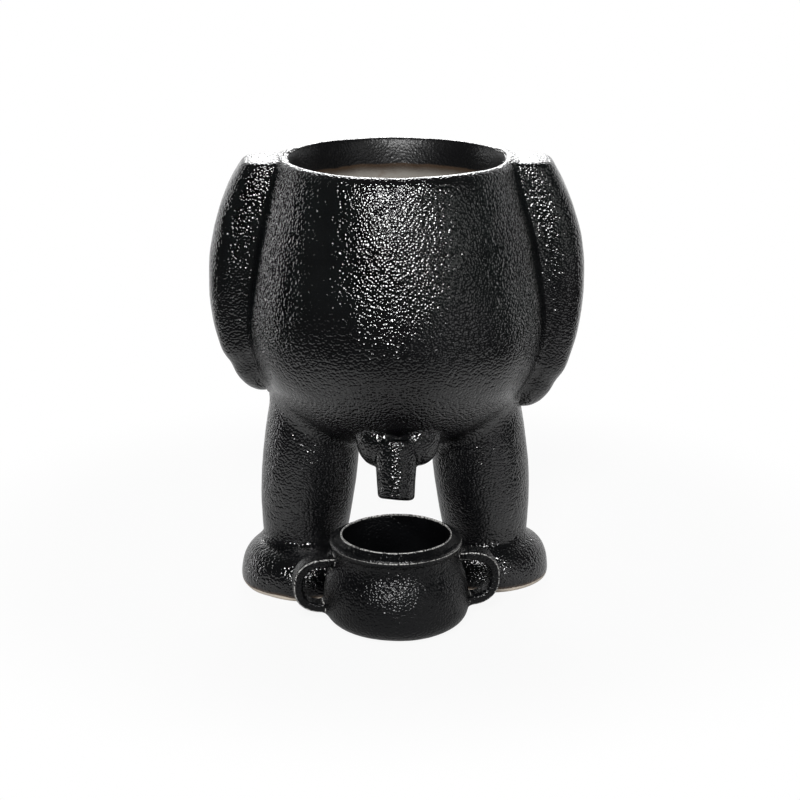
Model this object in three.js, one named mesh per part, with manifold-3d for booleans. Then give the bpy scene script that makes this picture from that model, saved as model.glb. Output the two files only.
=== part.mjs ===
// A plant pot in the form of a headless standing figure, with a drip cup under its drain spout.
// Millimetres, +Z up, the front faces -Y. The origin is on the table, under the middle of the whole set.
// Each piece is cast on its own and luted to its neighbours, so a thin seam of slip separates the solids.
import * as THREE from 'three';
import { mergeVertices } from 'three/addons/utils/BufferGeometryUtils.js';
import Module from 'manifold-3d';

const wasm = await Module();
wasm.setup();

// Seam of slip between luted pieces
const seam = 0.3;

// Overall width over the arms, and how far each arm stands out beyond the pot's belly
const armSpan = 105;
const armProud = 10.2;

// Pot shell: heights are above the table, radii from the pot's own axis
const potHeight = 122.4;
const undersideHeight = 40.5;
const bellyHeight = 77;
const bellyRadius = armSpan / 2 - armProud;
const shoulderRadius = 34.6;
const lipHeight = 5;
const lipRadius = 30.8;
const mouthRadius = 28.6;
const mouthFlare = 1;
const mouthDepth = 8;
const potWall = 4.8;
const potFloor = 5.5;
// Curve handles of the pot's side, in millimetres
const sideHandleUp = 15;
const shoulderHandleOut = 3;
const shoulderHandleDown = 9.5;

// Arms
const armWidth = 22;
const shoulderWidth = { left: 22, right: 22.5 };
const handWidth = { left: 15.5, right: 21 };
const armDepth = 24.4;
const shoulderDepth = 20;
const handDepth = 18.5;
const armSetBack = 2.4;
const handSetBack = 1.4;
const armTopDrop = 0.2;
const armLength = { left: 66.2, right: 70.2 };
const wristDepth = 0.5;
const wristWidth = 3;
const handLength = 11;

// Legs: legOut is from the middle to each leg's axis at the ankle
const legOut = { left: 26.7, right: 26 };
const legSplayDegrees = 5;
const ankleRadius = 11.8;
const calfRadius = 13.7;
const hipRadius = 12.5;
const legWall = 4.2;
const legOverrun = 12;

// Feet
const footHeight = 12.2;
const footRadius = 18;
const footAhead = { left: 4.8, right: 0.2 };
const footStretch = { left: 1.1, right: 1 };
const soleRadius = 16.4;
const soleEdge = 2.4;
const footFloor = 4;
const ventRadius = 3;

// Drain spout: its top front edge stands proud of the pot, at a rise above the pot's underside,
// and the spout leans forward about that edge
const spoutRise = 10.5;
const spoutProud = 4.6;
const spoutLeanDegrees = 15;
const spoutLength = 16;
const spoutTopRadius = 6.1;
const spoutTipRadius = 5.05;
const spoutTopEdge = 1;
const spoutTipEdge = 1.6;
const drainDiameter = 4.6;
const drainFallDegrees = 14;
const boreCover = 2.8;

// Lobes behind the spout
const lobeRadius = 6.4;
const lobeDrop = 7.9;
const lobeCrown = 6.4;
const lobeOut = { left: 4.7, right: 5.6 };
const lobeSetBack = 2.6;
const lobeSink = 0.8;

// Drip cup, and where it stands: cupAhead is from the middle of the spout's top to the cup's axis
const cupAhead = 8.3;
const cupTurnDegrees = 8;
const cupHeight = 25.5;
const cupBaseRadius = 12;
const cupBellyRadius = 20;
const cupBellyHeight = 6;
const cupNeckRadius = 17;
const cupRimRadius = 18.1;
const cupRimHeight = 6;
const cupRimSide = 3.8;
const cupRimEdge = 0.8;
const cupRimDrop = 1.2;
const cupBead = 0.4;
const cupMouthRadius = 14.7;
const cupWall = 3.2;
const cupFloor = 3;

// Cup handles: heights above the cup's base, reach from the cup's axis to the handle's outside
const handleReach = 28.6;
const handleTop = 19.8;
const handleBottom = 4;
const handleThickness = 2.9;
const handleWidth = 5.5;

// Facets
const roundSides = 40;
const legSides = 32;
const smallRoundSides = 24;
const curveSteps = 6;
const fineSteps = 4;
const armSides = 20;
const armRings = 18;
const handleSides = 8;
const handleSteps = 18;
const handlePoints = 6;

const glaze = new THREE.MeshStandardMaterial({ color: 0x18191b, roughness: 0.42, metalness: 0 });
const cupGlaze = new THREE.MeshStandardMaterial({ color: 0x161719, roughness: 0.36, metalness: 0 });

const sides = { left: -1, right: 1 };
const shoulderBluntness = 80;
const handBluntness = 8;
const armSquareness = 0.64;
const bendSquareness = 0.85;
const shoulderHeight = potHeight - lipHeight;
const lipPull = shoulderHandleOut * lipHeight / shoulderHandleDown;

// A closed geometry as a solid, with its shared vertices merged.
function solidOf(geometry) {
  const bare = geometry.clone();
  bare.deleteAttribute('normal');
  bare.deleteAttribute('uv');
  const merged = mergeVertices(bare, 1e-4);
  return new wasm.Manifold(new wasm.Mesh({
    numProp: 3,
    vertProperties: new Float32Array(merged.attributes.position.array),
    triVerts: new Uint32Array(merged.index.array),
  }));
}

// A solid as a geometry with smooth normals.
function geometryOf(solid) {
  const mesh = solid.getMesh();
  const geometry = new THREE.BufferGeometry();
  geometry.setAttribute('position', new THREE.BufferAttribute(mesh.vertProperties, 3));
  geometry.setIndex(new THREE.BufferAttribute(mesh.triVerts, 1));
  geometry.computeVertexNormals();
  return geometry;
}

// The first geometry with every cutter taken away from it.
function cut(geometry, ...cutters) {
  let solid = solidOf(geometry);
  for (const cutter of cutters) solid = solid.subtract(solidOf(cutter));
  return geometryOf(solid);
}

// A profile of (radius, height) points turned round the Z axis.
function turned(path, segments, steps = curveSteps) {
  return new THREE.LatheGeometry(path.getPoints(steps), segments).rotateX(Math.PI / 2);
}

// A cylinder between two points.
function rod(from, to, radius, segments) {
  const along = to.clone().sub(from);
  const upright = new THREE.Vector3(0, 1, 0);
  const turn = new THREE.Quaternion().setFromUnitVectors(upright, along.clone().normalize());
  const middle = from.clone().add(to).multiplyScalar(0.5);
  return new THREE.CylinderGeometry(radius, radius, along.length(), segments)
    .applyQuaternion(turn)
    .translate(middle.x, middle.y, middle.z);
}

// A sine or cosine drawn out towards a rounded square.
function squared(value, squareness) {
  return Math.sign(value) * Math.abs(value) ** squareness;
}

// A closed skin over rings of points, drawn to a point at each end.
function loft(startPoint, rings, endPoint) {
  const count = rings[0].length;
  const points = [startPoint, ...rings.flat(), endPoint];
  const last = points.length - 1;
  const at = (ring, i) => 1 + ring * count + (i % count);
  const triangles = [];
  for (let i = 0; i < count; i++) {
    triangles.push(0, at(0, i), at(0, i + 1));
    triangles.push(last, at(rings.length - 1, i + 1), at(rings.length - 1, i));
    for (let r = 0; r + 1 < rings.length; r++) {
      triangles.push(at(r, i), at(r + 1, i), at(r, i + 1));
      triangles.push(at(r, i + 1), at(r + 1, i), at(r + 1, i + 1));
    }
  }
  return new THREE.BufferGeometry().setFromPoints(points).setIndex(triangles);
}

// The pot's outside from the middle of the underside to the crest of the lip, grown outwards by a margin.
function potOutside(margin = 0) {
  const path = new THREE.Path();
  const belly = bellyRadius + margin;
  const shoulder = shoulderRadius + margin;
  path.absellipse(0, bellyHeight, belly, bellyHeight - undersideHeight + margin, -Math.PI / 2, 0, false);
  path.bezierCurveTo(
    belly, bellyHeight + sideHandleUp,
    shoulder + shoulderHandleOut, shoulderHeight - shoulderHandleDown,
    shoulder, shoulderHeight,
  );
  path.quadraticCurveTo(shoulder - lipPull, potHeight + margin, lipRadius, potHeight + margin);
  return path;
}

// The outside radius of the pot at a height.
function potRadiusAt(height) {
  const points = potOutside().getPoints(4 * curveSteps);
  const above = points.findIndex((p) => p.y >= height);
  if (above < 0) return lipRadius;
  if (above === 0) return 0;
  const [low, high] = [points[above - 1], points[above]];
  return low.x + (high.x - low.x) * (height - low.y) / (high.y - low.y);
}

// The height of the pot's underside at a radius.
function undersideAt(radius) {
  const share = Math.min(1, radius / bellyRadius);
  return bellyHeight - (bellyHeight - undersideHeight) * Math.sqrt(1 - share * share);
}

// The filled outside of the pot with room for the seam, which cuts whatever is luted to the pot.
function potCutter() {
  const path = potOutside(seam);
  path.lineTo(0, potHeight + seam);
  return turned(path, roundSides);
}

const spoutTopHeight = undersideHeight + spoutRise;
const spoutFrontY = -(potRadiusAt(spoutTopHeight) + spoutProud);
const spoutLean = THREE.MathUtils.degToRad(spoutLeanDegrees);

// A point of the leaning spout's axis, at a depth below the spout's top.
function spoutAxisAt(depth) {
  return new THREE.Vector3(0, spoutTopRadius, -depth)
    .applyAxisAngle(new THREE.Vector3(1, 0, 0), -spoutLean)
    .add(new THREE.Vector3(0, spoutFrontY, spoutTopHeight));
}

// The drain runs from the top of the spout's bore up through the pot's wall into its hollow.
function drainCutter() {
  const fall = THREE.MathUtils.degToRad(drainFallDegrees);
  const start = spoutAxisAt(boreCover + drainDiameter / 2);
  const reach = spoutTopRadius + 2 * potFloor + 2 * drainDiameter;
  const end = start.clone().add(new THREE.Vector3(0, reach * Math.cos(fall), reach * Math.sin(fall)));
  return rod(start, end, drainDiameter / 2, smallRoundSides);
}

function potBody() {
  const path = potOutside();
  path.quadraticCurveTo(mouthRadius + mouthFlare, potHeight, mouthRadius, potHeight - mouthDepth);
  const inside = bellyRadius - potWall;
  path.bezierCurveTo(
    mouthRadius + shoulderHandleOut, shoulderHeight - shoulderHandleDown,
    inside, bellyHeight + sideHandleUp,
    inside, bellyHeight,
  );
  path.absellipse(0, bellyHeight, inside, bellyHeight - undersideHeight - potFloor, 0, -Math.PI / 2, true);
  return cut(turned(path, roundSides), drainCutter());
}

// The blank of one arm, grown by a margin. It bows out to the figure's overall width, has a flat
// shoulder level with the lip and a wrist above its rounded hand, and half of it lies inside the pot.
function armBlank(side, margin = 0) {
  const top = potHeight - armTopDrop;
  const bottom = top - armLength[side];
  const start = new THREE.Vector3(potRadiusAt(top), armSetBack, top);
  const end = new THREE.Vector3(potRadiusAt(bottom), handSetBack, bottom);
  const elbow = start.clone().add(end).multiplyScalar(0.5);
  elbow.x = (armSpan - armWidth) / 2;
  const pull = elbow.multiplyScalar(2).sub(start.clone().add(end).multiplyScalar(0.5));
  const spine = new THREE.QuadraticBezierCurve3(start, pull, end);
  const length = spine.getLength();
  const straightOut = new THREE.Vector3(1, 0, 0);
  const rings = [];
  for (let r = 1; r < armRings; r++) {
    const t = (1 - Math.cos(Math.PI * r / armRings)) / 2;
    const middle = spine.getPoint(t);
    const along = spine.getTangent(t);
    const fromWrist = ((1 - t) * length - handLength) / wristWidth;
    const waist = wristDepth * Math.exp(-fromWrist * fromWrist);
    const towardsEnd = 2 * t - 1;
    const level = Math.max(0, -towardsEnd) ** 2;
    const outward = new THREE.Vector3(-along.z, 0, along.x).normalize().lerp(straightOut, level);
    const bluntness = towardsEnd < 0 ? shoulderBluntness : handBluntness;
    const fullness = Math.sqrt(1 - Math.abs(towardsEnd) ** bluntness);
    const endWidth = towardsEnd < 0 ? shoulderWidth[side] : handWidth[side];
    const width = armWidth + (endWidth - armWidth) * towardsEnd * towardsEnd;
    const endDepth = towardsEnd < 0 ? shoulderDepth : handDepth;
    const depth = armDepth + (endDepth - armDepth) * towardsEnd * towardsEnd;
    const across = fullness * width / 2 - waist + margin;
    const deep = fullness * depth / 2 - waist + margin;
    const ring = [];
    for (let i = 0; i < armSides; i++) {
      const a = 2 * Math.PI * i / armSides;
      const point = middle.clone().addScaledVector(outward, across * squared(Math.cos(a), armSquareness));
      point.y += deep * squared(Math.sin(a), armSquareness);
      ring.push(point);
    }
    rings.push(ring);
  }
  start.z += margin;
  end.z -= margin;
  const blank = loft(start, rings, end);
  blank.computeBoundingBox();
  return blank.translate(armSpan / 2 + margin - blank.boundingBox.max.x, 0, 0);
}

function arm(side) {
  return cut(armBlank(side), potCutter());
}

// One leg: a hollow barrel, level at the ankle, splayed outwards, cut to the pot's underside and the hand.
function leg(side) {
  const rise = undersideAt(legOut[side] + hipRadius / 2) - footHeight;
  const bulge = (8 * calfRadius - ankleRadius - hipRadius) / 6;
  const path = new THREE.Path();
  path.moveTo(ankleRadius, -legOverrun);
  path.lineTo(ankleRadius, 0);
  path.bezierCurveTo(bulge, rise / 3, bulge, 2 * rise / 3, hipRadius, rise);
  path.lineTo(hipRadius, rise + legOverrun);
  path.lineTo(hipRadius - legWall, rise + legOverrun);
  path.lineTo(hipRadius - legWall, rise);
  path.bezierCurveTo(
    bulge - legWall, 2 * rise / 3,
    bulge - legWall, rise / 3,
    ankleRadius - legWall, 0,
  );
  path.lineTo(ankleRadius - legWall, -legOverrun);
  path.closePath();
  const barrel = turned(path, legSides)
    .rotateY(-THREE.MathUtils.degToRad(legSplayDegrees))
    .translate(legOut[side], 0, footHeight + seam);
  const floor = new THREE.BoxGeometry(4 * footRadius, 4 * footRadius, 2 * footHeight)
    .translate(legOut[side], 0, seam);
  return cut(barrel, potCutter(), armBlank(side, seam), floor);
}

// One foot: a hollow bun with a flat sole, open to the leg above and vented through the sole.
function foot(side) {
  const bore = ankleRadius - legWall;
  const path = new THREE.Path();
  path.moveTo(ventRadius, 0);
  path.lineTo(soleRadius, 0);
  path.quadraticCurveTo(footRadius, 0, footRadius, soleEdge);
  path.bezierCurveTo(
    footRadius, footHeight / 2 + soleEdge,
    (footRadius + ankleRadius) / 2, footHeight - soleEdge / 3,
    ankleRadius, footHeight,
  );
  path.lineTo(bore, footHeight);
  path.lineTo(bore, footFloor);
  path.lineTo(ventRadius, footFloor);
  path.closePath();
  return turned(path, legSides).scale(1, footStretch[side], 1);
}

// The spout's outside, grown by a margin, as a closed plug. It is drawn from its top down, then leaned.
function spoutPlug(margin = 0) {
  const path = new THREE.Path();
  const tip = spoutTipRadius + margin;
  const top = spoutTopRadius + margin;
  path.moveTo(0, -spoutLength - margin);
  path.lineTo(tip - spoutTipEdge, -spoutLength - margin);
  path.quadraticCurveTo(tip, -spoutLength - margin, tip, spoutTipEdge - spoutLength);
  path.lineTo(top, -spoutTopEdge);
  path.quadraticCurveTo(top, margin, top - spoutTopEdge, margin);
  path.lineTo(0, margin);
  return turned(path, smallRoundSides, fineSteps)
    .translate(0, spoutTopRadius, 0)
    .rotateX(-spoutLean)
    .translate(0, spoutFrontY, spoutTopHeight);
}

// The drain spout: a tapered stub with a bore that meets the drain through the pot's wall.
function spout() {
  const below = spoutAxisAt(spoutLength + spoutTipEdge);
  const bore = rod(below, spoutAxisAt(boreCover), drainDiameter / 2, smallRoundSides);
  return cut(spoutPlug(), potCutter(), bore, drainCutter());
}

// One rounded lobe, tucked between the spout, its twin and the pot's underside.
// The drain runs between the two lobes.
function lobe(side) {
  const y = spoutFrontY + spoutTopRadius + lobeSetBack;
  const z = undersideAt(Math.hypot(lobeOut[side], y)) + lobeSink;
  const path = new THREE.Path();
  path.absellipse(0, 0, lobeRadius, lobeDrop, -Math.PI / 2, 0, false);
  path.absellipse(0, 0, lobeRadius, lobeCrown, 0, Math.PI / 2, false);
  const ball = turned(path, smallRoundSides).translate(lobeOut[side], y, z);
  const twinSide = new THREE.BoxGeometry(4 * lobeRadius, 4 * lobeRadius, 4 * lobeRadius)
    .translate(seam / 2 - 2 * lobeRadius, y, z);
  return cut(ball, potCutter(), twinSide, spoutPlug(seam), drainCutter());
}

// The cup's outside from the middle of its base to the outer edge of its rim, grown by a margin.
function cupOutside(margin = 0) {
  const path = new THREE.Path();
  const belly = cupBellyRadius + margin;
  const neck = cupNeckRadius + margin;
  const rim = cupRimRadius + margin;
  const neckHeight = cupHeight - cupRimHeight;
  const rise = (neckHeight - cupBellyHeight) / 2;
  path.moveTo(0, -margin);
  path.lineTo(cupBaseRadius, -margin);
  path.quadraticCurveTo(belly, -margin, belly, cupBellyHeight);
  path.bezierCurveTo(belly, cupBellyHeight + rise, neck, neckHeight - rise, neck, neckHeight);
  path.bezierCurveTo(
    neck, neckHeight + cupRimSide / 2,
    rim, neckHeight + cupRimSide / 2,
    rim, neckHeight + cupRimSide,
  );
  return path;
}

// The bowl's rim slopes a little up from its rounded outer edge to a fine bead round the mouth.
function cupBowl() {
  const path = cupOutside();
  const neckHeight = cupHeight - cupRimHeight;
  const inside = cupBellyRadius - cupWall;
  const beadFoot = cupMouthRadius + 2 * cupBead;
  path.quadraticCurveTo(
    cupRimRadius, cupHeight - cupRimDrop,
    cupRimRadius - cupRimEdge, cupHeight - cupRimDrop,
  );
  path.lineTo(beadFoot, cupHeight - cupBead);
  path.quadraticCurveTo(beadFoot, cupHeight, beadFoot - cupBead, cupHeight);
  path.quadraticCurveTo(cupMouthRadius, cupHeight, cupMouthRadius, cupHeight - cupBead);
  path.bezierCurveTo(
    cupMouthRadius, neckHeight - cupRimHeight,
    inside, cupBellyHeight + cupRimHeight,
    inside, cupBellyHeight,
  );
  path.quadraticCurveTo(inside, cupFloor, cupBaseRadius - cupWall, cupFloor);
  path.lineTo(0, cupFloor);
  return turned(path, roundSides, fineSteps);
}

// The filled outside of the cup with room for the seam, which cuts the handles to the bowl.
function cupCutter() {
  const path = cupOutside(seam);
  path.lineTo(cupRimRadius + seam, cupHeight + seam);
  path.lineTo(0, cupHeight + seam);
  return turned(path, roundSides, fineSteps);
}

// One loop handle, a half oval from under the cup's rim out to its reach and back into the lower belly.
function cupHandle() {
  const half = handleThickness / 2;
  const out = handleReach - half - cupBellyRadius;
  const middle = (handleTop + handleBottom) / 2;
  const rise = (handleTop - handleBottom) / 2 - half;
  const root = cupNeckRadius - cupWall / 2;
  const points = [new THREE.Vector3(root, 0, middle + rise)];
  for (let i = 1; i < handlePoints; i++) {
    const a = Math.PI * (0.5 - i / handlePoints);
    points.push(new THREE.Vector3(
      cupBellyRadius + out * squared(Math.cos(a), bendSquareness),
      0,
      middle + rise * squared(Math.sin(a), bendSquareness),
    ));
  }
  points.push(new THREE.Vector3(root, 0, middle - rise));
  const loop = new THREE.CatmullRomCurve3(points);
  const section = new THREE.Shape().absellipse(0, 0, handleWidth / 2, half, 0, 2 * Math.PI);
  const swept = new THREE.ExtrudeGeometry(section, {
    steps: handleSteps,
    curveSegments: handleSides,
    extrudePath: loop,
    bevelEnabled: false,
  });
  return cut(swept, cupCutter());
}

function piece(name, geometry, material) {
  const mesh = new THREE.Mesh(geometry, material);
  mesh.name = name;
  return mesh;
}

function planter() {
  const group = new THREE.Group();
  group.add(piece('pot_body', potBody(), glaze), piece('spout', spout(), glaze));
  for (const [side, sign] of Object.entries(sides)) {
    const half = new THREE.Group();
    half.scale.x = sign;
    const footPiece = piece(side + '_foot', foot(side), glaze);
    footPiece.position.set(legOut[side], -footAhead[side], 0);
    half.add(
      piece(side + '_arm', arm(side), glaze),
      piece(side + '_leg', leg(side), glaze),
      piece(side + '_lobe', lobe(side), glaze),
      footPiece,
    );
    group.add(half);
  }
  return group;
}

function cup() {
  const group = new THREE.Group();
  group.add(piece('cup_bowl', cupBowl(), cupGlaze));
  for (const [side, sign] of Object.entries(sides)) {
    const handle = piece('cup_' + side + '_handle', cupHandle(), cupGlaze);
    handle.scale.x = sign;
    group.add(handle);
  }
  group.rotation.z = THREE.MathUtils.degToRad(cupTurnDegrees);
  return group;
}

const set = new THREE.Group();
const pot = planter();
const dripCup = cup();
dripCup.position.y = spoutFrontY + spoutTopRadius - cupAhead;
set.add(pot, dripCup);

// The set runs from the cup's front to the pot's back, and the origin is midway between them.
const front = dripCup.position.y - cupBellyRadius;
for (const part of set.children) part.position.y -= (front + bellyRadius) / 2;

export default set;
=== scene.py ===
"""Looks of a figure planter and the drip cup that stands under its drain spout.

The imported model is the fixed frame. Each class below rebuilds one kind of piece
as a fine skin of glazed clay, in the place where the frame has its node. Lengths
are millimetres in the classes of the pieces, where a skin becomes metres when its
object is made, and metres in the studio.
"""

import logging
import math
from collections.abc import Callable, Iterable, Mapping, Sequence
from dataclasses import dataclass, field
from enum import Enum

import bpy
import numpy as np
from mathutils import Matrix, Vector
from mathutils.bvhtree import BVHTree


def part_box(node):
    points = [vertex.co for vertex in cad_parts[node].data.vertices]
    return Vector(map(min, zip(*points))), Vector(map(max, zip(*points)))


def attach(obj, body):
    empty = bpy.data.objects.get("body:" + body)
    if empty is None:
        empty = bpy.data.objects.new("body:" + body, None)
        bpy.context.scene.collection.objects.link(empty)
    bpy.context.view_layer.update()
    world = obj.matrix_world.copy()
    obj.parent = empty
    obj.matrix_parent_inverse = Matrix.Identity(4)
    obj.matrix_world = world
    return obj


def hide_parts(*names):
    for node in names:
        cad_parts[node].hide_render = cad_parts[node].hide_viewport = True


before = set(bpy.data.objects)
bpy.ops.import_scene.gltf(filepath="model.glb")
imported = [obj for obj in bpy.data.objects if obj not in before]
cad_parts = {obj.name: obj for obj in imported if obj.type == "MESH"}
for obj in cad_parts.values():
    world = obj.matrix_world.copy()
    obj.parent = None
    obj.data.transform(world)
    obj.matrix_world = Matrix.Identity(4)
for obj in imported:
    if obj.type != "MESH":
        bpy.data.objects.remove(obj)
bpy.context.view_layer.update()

Array = np.ndarray
Pair = tuple[float, float]
Triple = tuple[float, float, float]
Colour = tuple[float, float, float, float]
Socket = bpy.types.NodeSocket
Settings = Mapping[str, object] | None
Inputs = Mapping[str | int, object] | None

log = logging.getLogger("planter")

METRES = 0.001
ON_AXIS = 1e-6
BEND = "bend"


class Side(Enum):
    """The two sides of the figure, as seen from the front."""

    LEFT = -1
    RIGHT = 1

    @property
    def label(self) -> str:
        """The side's word in the frame's node names."""
        return self.name.lower()


class Zone(Enum):
    """Which finish a patch of a skin takes, by its place among the object's materials."""

    OUTSIDE = 0
    INSIDE = 1


Sides = Mapping[Side, float]


def each_side(left: float, right: float) -> Sides:
    """A dataclass field of one size for each side."""
    return field(default_factory=lambda: {Side.LEFT: left, Side.RIGHT: right})


# Drawing and skinning


class Outline:
    """A half section of (radius, height) points, drawn in strokes and then turned."""

    def __init__(self, start: Pair, step: float) -> None:
        """Starts the outline.

        Args:
            start: Its first point.
            step: The spacing of points along the strokes that follow.
        """
        self.points: list[Array] = [np.array(start, float)]
        self.step = step

    def _add(self, drawn: Callable[[Array], Array], length: float) -> "Outline":
        """Adds the points of a stroke after the last point.

        Args:
            drawn: Gives the stroke's points at shares of its length.
            length: About how long the stroke is.

        Returns:
            The outline, for the next stroke.
        """
        count = max(2, math.ceil(length / self.step))
        self.points.extend(drawn(np.linspace(0.0, 1.0, count + 1)[1:]))
        return self

    def bend(self, *controls: Pair) -> "Outline":
        """Draws a Bezier curve, or a straight line to a single point.

        Args:
            controls: The handles of the curve and then its end.

        Returns:
            The outline, for the next stroke.
        """
        hull = np.vstack([self.points[-1], np.array(controls, float)])
        length = np.linalg.norm(np.diff(hull, axis=0), axis=1).sum()
        return self._add(lambda share: bezier(hull, share), length)

    def oval(self, centre: Pair, radii: Pair, turn: Pair) -> "Outline":
        """Draws an arc of an upright ellipse.

        Args:
            centre: The middle of the ellipse.
            radii: Its half width and half height.
            turn: The first and last angle in degrees, from the outward direction.

        Returns:
            The outline, for the next stroke.
        """
        def drawn(share: Array) -> Array:
            """The arc's points at shares of its angle."""
            angle = np.radians(turn[0] + (turn[1] - turn[0]) * share)
            return np.stack(
                [centre[0] + radii[0] * np.cos(angle), centre[1] + radii[1] * np.sin(angle)], 1
            )

        return self._add(drawn, math.radians(abs(turn[1] - turn[0])) * max(radii))

    @property
    def count(self) -> int:
        """How many points are drawn so far."""
        return len(self.points)


def bezier(hull: Array, share: Array) -> Array:
    """Points of a Bezier curve of any order.

    Args:
        hull: The control points, one a row.
        share: Where along the curve, from 0 to 1.

    Returns:
        One point a row for each share.
    """
    order = len(hull) - 1
    weights = [
        math.comb(order, i) * share**i * (1 - share) ** (order - i) for i in range(order + 1)
    ]
    return np.stack(weights, 1) @ hull


def squared(values: Array, squareness: float | Array) -> Array:
    """Sines or cosines drawn out towards a rounded square by a power below 1."""
    return np.sign(values) * np.abs(values) ** squareness


@dataclass
class Skin:
    """A closed clay surface in millimetres, as points and patches of faces."""

    points: Array
    patches: list[tuple[Array, Zone]]

    @classmethod
    def turned(cls, outline: Outline, sides: int, inside_from: int | None = None) -> "Skin":
        """Turns an outline, whose ends lie on the axis, round the Z axis.

        Args:
            outline: The half section, from its lower end along the outside.
            sides: How many facets go round.
            inside_from: The outline point from which faces belong to the inside.

        Returns:
            The closed skin.
        """
        angles = np.linspace(0.0, 2 * np.pi, sides, endpoint=False)
        circle = np.stack([np.cos(angles), np.sin(angles)], 1)
        rings: list[Array] = []
        for radius, height in outline.points:
            around = np.zeros((1, 2)) if radius < ON_AXIS else radius * circle
            rings.append(np.column_stack([around, np.full(len(around), height)]))
        return cls.lofted(rings, inside_from)

    @classmethod
    def lofted(cls, rings: Sequence[Array], inside_from: int | None = None) -> "Skin":
        """Joins rings of points with faces. The first and last ring are single points.

        Args:
            rings: The rings in order, with their points counter-clockwise seen from the last.
            inside_from: The ring from which faces belong to the inside.

        Returns:
            The closed skin.
        """
        sides = max(len(ring) for ring in rings)
        starts = np.cumsum([0] + [len(ring) for ring in rings])
        rows = [
            start + (np.arange(sides) if len(ring) > 1 else np.zeros(sides, int))
            for start, ring in zip(starts, rings)
        ]
        patches = []
        for i, (low, high) in enumerate(zip(rows, rows[1:])):
            corners = [low, np.roll(low, -1), np.roll(high, -1), high]
            if len(rings[i]) == 1:
                corners.pop(1)
            elif len(rings[i + 1]) == 1:
                corners.pop(2)
            inside = inside_from is not None and i >= inside_from
            patches.append((np.stack(corners, 1), Zone.INSIDE if inside else Zone.OUTSIDE))
        return cls(np.vstack(rings), patches)

    def polygons(self) -> list[list[int]]:
        """Every face as a list of its corners."""
        return [face for corners, _ in self.patches for face in corners.tolist()]

    def normals(self) -> Array:
        """Finds which way is outward at each point.

        Returns:
            One unit vector a row, the mean over the faces that meet at the point.
        """
        total = np.zeros_like(self.points)
        for corners, _ in self.patches:
            at = self.points[corners]
            across = np.cross(at[:, 2] - at[:, 0], at[:, -1] - at[:, 1])
            for i in range(corners.shape[1]):
                np.add.at(total, corners[:, i], across)
        return total / np.maximum(np.linalg.norm(total, axis=1, keepdims=True), ON_AXIS)

    def sharpness(self) -> Array:
        """Measures how sharply the skin bends outwards.

        Returns:
            The sharpest outward bend at each point, as 1 over the radius in millimetres.
        """
        normals = self.normals()
        bend = np.zeros(len(self.points))
        for corners, _ in self.patches:
            for first, second in zip(corners.T, np.roll(corners, -1, axis=1).T):
                step = self.points[second] - self.points[first]
                turn = normals[second] - normals[first]
                found = (turn * step).sum(axis=1) / np.maximum((step**2).sum(axis=1), ON_AXIS)
                np.maximum.at(bend, first, found)
                np.maximum.at(bend, second, found)
        return bend

    def outside(self) -> Array:
        """Marks the points that belong to outside faces.

        Returns:
            True for each such point.
        """
        marked = np.zeros(len(self.points), bool)
        for corners, zone in self.patches:
            marked[corners] |= zone is Zone.OUTSIDE
        return marked

    def rotated(self, axis: str, degrees: float) -> "Skin":
        """Turns the skin about an axis of the frame.

        Args:
            axis: The axis: X, Y or Z.
            degrees: How far, counter-clockwise seen from the axis's tip.

        Returns:
            The same skin.
        """
        turn = np.array(Matrix.Rotation(math.radians(degrees), 3, axis))
        self.points = self.points @ turn.T
        return self

    def moved(self, by: Triple) -> "Skin":
        """Moves the skin."""
        self.points = self.points + np.array(by)
        return self

    def mirrored(self, side: Side) -> "Skin":
        """Mirrors the skin to the left, if that is its side.

        Args:
            side: The side where the skin belongs, which was drawn on the right.

        Returns:
            The same skin.
        """
        if side is Side.LEFT:
            self.points = self.points * np.array([-1.0, 1.0, 1.0])
            self.patches = [(corners[:, ::-1], zone) for corners, zone in self.patches]
        return self

    def raised(self, height: Array) -> "Skin":
        """Moves each point along its normal by its own height."""
        self.points = self.points + self.normals() * height[:, None]
        return self

    def to_object(self, name: str, finishes: Sequence[bpy.types.Material]) -> bpy.types.Object:
        """Makes the skin's smooth Blender object.

        Args:
            name: The piece's name.
            finishes: Its materials, in the order of the zones.

        Returns:
            The object, linked to the scene.
        """
        mesh = bpy.data.meshes.new(name)
        mesh.from_pydata((self.points * METRES).tolist(), [], self.polygons())
        zones = np.concatenate([np.full(len(c), zone.value) for c, zone in self.patches])
        for finish in finishes:
            mesh.materials.append(finish)
        mesh.polygons.foreach_set("material_index", np.minimum(zones, len(finishes) - 1))
        bend = mesh.attributes.new(BEND, "FLOAT", "POINT")
        bend.data.foreach_set("value", self.sharpness())
        mesh.shade_smooth()
        mesh.update()
        made = bpy.data.objects.new(name, mesh)
        bpy.context.scene.collection.objects.link(made)
        return made


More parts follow.
